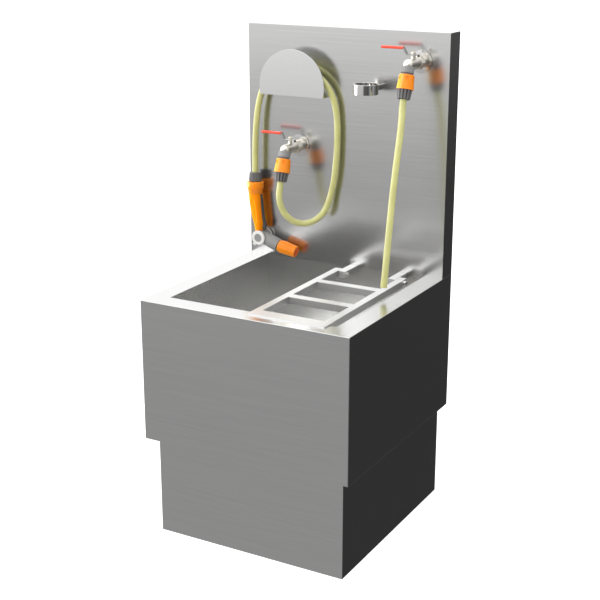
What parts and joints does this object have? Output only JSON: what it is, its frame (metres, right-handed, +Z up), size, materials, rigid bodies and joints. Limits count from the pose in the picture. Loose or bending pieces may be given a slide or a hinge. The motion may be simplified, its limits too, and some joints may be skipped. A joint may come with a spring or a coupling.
{
  "type": "waste disposal sink",
  "caption": "Steel waste sink on a closed plinth with a tall splash panel, hinged grate, lever wall taps, hose hanger, holder ring and spray gun.",
  "frame": {"origin": "middle of the outline on the floor", "axes": "+Z up, -Y towards the user at the open front, +X to the user's right"},
  "size_m": [0.5, 0.507, 1.087],
  "materials": {
    "brushed_steel": "brushed along the width",
    "bright_steel": "fine satin",
    "polished_steel": "polished",
    "nickel": "nickel plated",
    "lever_steel": "plain",
    "zinc": "zinc plated",
    "brass": "turned",
    "copper": "drawn pipe",
    "white_plastic": "moulded",
    "black_rubber": "plain",
    "red_vinyl": "dipped",
    "orange_plastic": "moulded",
    "red_orange_plastic": "moulded",
    "light_grey_plastic": "moulded",
    "grey_plastic": "moulded",
    "dark_grey_plastic": "moulded",
    "trigger_plastic": "moulded",
    "hose_vinyl": "smooth"
  },
  "bodies": {
    "cabinet": {"casing_shell": "brushed_steel", "rim_sheet": "brushed_steel", "bowl": "brushed_steel", "base_plate": "brushed_steel", "plinth_shell": "brushed_steel", "splash_panel": "brushed_steel", "rear_cover": "brushed_steel", "hinge_brackets": "brushed_steel", "hanger_plate": "bright_steel", "hanger_saddle": "bright_steel", "hinge_fasteners": "bright_steel", "waste_flange": "bright_steel", "tap_rosettes": "polished_steel", "holder_ring": "polished_steel", "tap_union_nuts": "nickel", "upper_tap_body": "nickel", "lower_tap_body": "nickel", "tap_gland_nuts": "nickel", "floor_brackets": "zinc", "plinth_bolts": "zinc", "cover_screws": "zinc", "splash_screws": "zinc", "trigger_pin": "zinc", "supply_elbows": "brass", "supply_pipes": "copper", "trap_body": "white_plastic", "trap_cup": "white_plastic", "trap_nuts": "white_plastic", "outlet_pipe": "white_plastic", "tap_seats": "white_plastic", "gun_valve": "white_plastic", "waste_locknut": "white_plastic", "waste_gasket": "black_rubber", "outlet_grommet": "black_rubber", "connector_seals": "black_rubber", "gun_collar": "orange_plastic", "gun_handle": "orange_plastic", "hose_adapters": "light_grey_plastic", "gun_barrel": "grey_plastic", "connector_cores": "dark_grey_plastic", "connector_nuts": "dark_grey_plastic", "gun_nut": "dark_grey_plastic", "gun_hose": "hose_vinyl", "fill_hose": "hose_vinyl"},
    "grate": {"grate_frame": "brushed_steel"},
    "upper_lever": {"upper_tap_ball": "brass", "upper_lever": "lever_steel", "upper_lever_sleeve": "red_vinyl", "upper_lever_nut": "nickel"},
    "lower_lever": {"lower_tap_ball": "brass", "lower_lever": "lever_steel", "lower_lever_sleeve": "red_vinyl", "lower_lever_nut": "nickel"},
    "upper_coupler": {"upper_connector_sleeve": "orange_plastic"},
    "lower_coupler": {"lower_connector_sleeve": "orange_plastic"},
    "strainer": {"waste_strainer": "bright_steel"},
    "trigger": {"gun_trigger": "trigger_plastic"},
    "dial": {"gun_dial": "white_plastic"},
    "nozzle": {"gun_nozzle": "orange_plastic", "nozzle_face": "red_orange_plastic"}
  },
  "joints": [
    {"name": "grate_hinge", "type": "hinge", "parent": "cabinet", "child": "grate", "pos_m": [0.09, 0.1485, 0.5395], "axis": [-1, 0, 0], "range_deg": [0, 96]},
    {"name": "upper_lever_turn", "type": "hinge", "parent": "cabinet", "child": "upper_lever", "pos_m": [0.185, 0.1555, 1.0244], "axis": [0, 0, 1], "range_deg": [0, 90]},
    {"name": "lower_lever_turn", "type": "hinge", "parent": "cabinet", "child": "lower_lever", "pos_m": [-0.115, 0.1555, 0.8168], "axis": [0, 0, 1], "range_deg": [0, 90]},
    {"name": "upper_coupler_slide", "type": "slide", "parent": "cabinet", "child": "upper_coupler", "axis": [0, -0.2807, -0.9598], "range_m": [0, 0.0035], "stiffness_N_per_m": 600, "springref_m": -0.004},
    {"name": "lower_coupler_slide", "type": "slide", "parent": "cabinet", "child": "lower_coupler", "axis": [0, -0.2807, -0.9598], "range_m": [0, 0.0035], "stiffness_N_per_m": 600, "springref_m": -0.004},
    {"name": "strainer_lift", "type": "slide", "parent": "cabinet", "child": "strainer", "axis": [0, 0, 1], "range_m": [0, 0.1]},
    {"name": "trigger_squeeze", "type": "hinge", "parent": "cabinet", "child": "trigger", "pos_m": [-0.2094, 0.177, 0.69], "axis": [0, 1, 0], "range_deg": [0, 4.5], "stiffness_Nm_per_rad": 0.5, "springref_deg": -5.73},
    {"name": "dial_turn", "type": "hinge", "parent": "cabinet", "child": "dial", "pos_m": [-0.2052, 0.177, 0.593], "axis": [0, 1, 0], "range_deg": [0, 90]},
    {"name": "nozzle_twist", "type": "hinge", "parent": "cabinet", "child": "nozzle", "pos_m": [-0.15915, 0.177, 0.57624], "axis": [0.9781, 0, -0.2079], "range_deg": [0, 180]}
  ]
}
